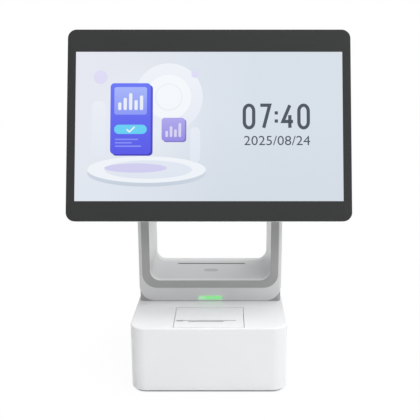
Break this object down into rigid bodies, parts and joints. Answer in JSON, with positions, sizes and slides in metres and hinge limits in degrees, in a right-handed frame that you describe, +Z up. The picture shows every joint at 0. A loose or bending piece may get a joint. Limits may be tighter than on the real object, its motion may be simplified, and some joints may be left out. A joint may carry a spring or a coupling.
{
  "type": "visitor management terminal",
  "caption": "Counter terminal with a tilting touch display on a two-arm neck, a card slot and status light, and a receipt printer under a hinged lid in the base.",
  "frame": {"origin": "middle of the bounding box at the level of the table, which is the middle of the base between its feet", "axes": "+Z up, -Y towards the visitor who faces the display, +X to that visitor's right"},
  "size_m": [0.366, 0.21, 0.4529],
  "materials": {
    "glass_black": "clear glass, black printed border on its back",
    "panel_glass": "lit picture",
    "tray_metal": "plain sheet",
    "head_white": "fine matt",
    "base_white": "fine matt",
    "neck_silver": "silver grey, satin",
    "liner_pale": "pale grey, satin",
    "trim_grey": "mid grey, satin",
    "window_grey": "smooth",
    "light_green": "lit, green",
    "steel": "plain",
    "pin_steel": "ground",
    "screw_steel": "plain",
    "washer_brass": "plain",
    "dark_plastic": "fine matt",
    "cable_black": "soft matt",
    "circuit_green": "solder mask",
    "circuit_white": "solder mask",
    "heat_sink": "extruded",
    "rubber_black": "matt",
    "gear_white": "moulded",
    "gear_brass": "cut",
    "paper_white": "smooth",
    "core_card": "plain",
    "spindle_pale": "moulded",
    "button_grey": "satin",
    "port_metal": "tinned"
  },
  "bodies": {
    "stand": {"hinge_pins": "pin_steel", "friction_washers": "washer_brass", "hinge_nuts": "pin_steel", "neck_shell": "neck_silver", "neck_liner": "liner_pale", "neck_trim": "trim_grey", "left_arm_plate": "steel", "right_arm_plate": "steel", "neck_screws": "screw_steel", "neck_harness": "cable_black", "card_guide": "dark_plastic", "card_reader_board": "circuit_green", "tap_window": "window_grey", "light_lens": "light_green", "light_board": "circuit_white", "base_cover": "base_white", "base_plate": "steel", "rubber_feet": "rubber_black", "base_screws": "screw_steel", "lid_hinge_pin": "pin_steel", "print_head": "heat_sink", "printer_frame": "dark_plastic", "paper_bucket": "dark_plastic", "roll_spindle": "spindle_pale", "printer_motor": "screw_steel", "idler_axle": "pin_steel", "button_switches": "dark_plastic", "button_board": "circuit_green", "port_panel": "dark_plastic", "network_port": "port_metal", "usb_ports": "port_metal", "power_inlet": "dark_plastic", "io_board": "circuit_green", "printer_board": "circuit_green"},
    "display": {"cover_glass": "glass_black", "lcd_cell": "panel_glass", "backlight_tray": "tray_metal", "front_frame": "head_white", "rear_shell": "head_white", "hinge_plate": "steel", "hinge_cover": "head_white", "mainboard": "circuit_green", "mainboard_heat_sink": "heat_sink", "head_speakers": "dark_plastic", "head_screws": "screw_steel", "head_harness": "cable_black"},
    "lid": {"printer_lid": "base_white", "tear_bar": "steel"},
    "platen": {"platen_roller": "rubber_black", "platen_shaft": "pin_steel", "platen_gear": "gear_white"},
    "paper": {"paper_roll": "paper_white", "roll_core": "core_card"},
    "idler": {"idler_gear": "gear_white"},
    "motor_shaft": {"motor_pinion": "gear_brass"},
    "feed_key": {"feed_button": "button_grey"},
    "power_key": {"power_button": "button_grey"}
  },
  "joints": [
    {"name": "display_tilt", "type": "hinge", "parent": "stand", "child": "display", "pos_m": [0, 0.017, 0.291], "axis": [-1, 0, 0], "range_deg": [-10, 25]},
    {"name": "lid_hinge", "type": "hinge", "parent": "stand", "child": "lid", "pos_m": [0, -0.0348, 0.0842], "axis": [-1, 0, 0], "range_deg": [0, 95]},
    {"name": "platen_spin", "type": "hinge", "parent": "lid", "child": "platen", "pos_m": [0, -0.0718, 0.0793], "axis": [1, 0, 0], "continuous": true},
    {"name": "idler_spin", "type": "hinge", "parent": "stand", "child": "idler", "pos_m": [0.0371, -0.06971, 0.06445], "axis": [1, 0, 0], "continuous": true},
    {"name": "motor_spin", "type": "hinge", "parent": "stand", "child": "motor_shaft", "pos_m": [0.0371, -0.08214, 0.06065], "axis": [1, 0, 0], "continuous": true},
    {"name": "roll_spin", "type": "hinge", "parent": "stand", "child": "paper", "pos_m": [-0.004, -0.0515, 0.046], "axis": [1, 0, 0], "continuous": true},
    {"name": "feed_press", "type": "slide", "parent": "stand", "child": "feed_key", "axis": [-1, 0, 0], "range_m": [0, 0.0012], "stiffness_N_per_m": 600, "springref_m": -0.001},
    {"name": "power_press", "type": "slide", "parent": "stand", "child": "power_key", "axis": [-1, 0, 0], "range_m": [0, 0.0012], "stiffness_N_per_m": 700, "springref_m": -0.001}
  ],
  "couplings": [
    {"joint": "idler_spin", "follows": "platen_spin", "ratio": -0.5},
    {"joint": "motor_spin", "follows": "platen_spin", "ratio": 1.6667}
  ]
}
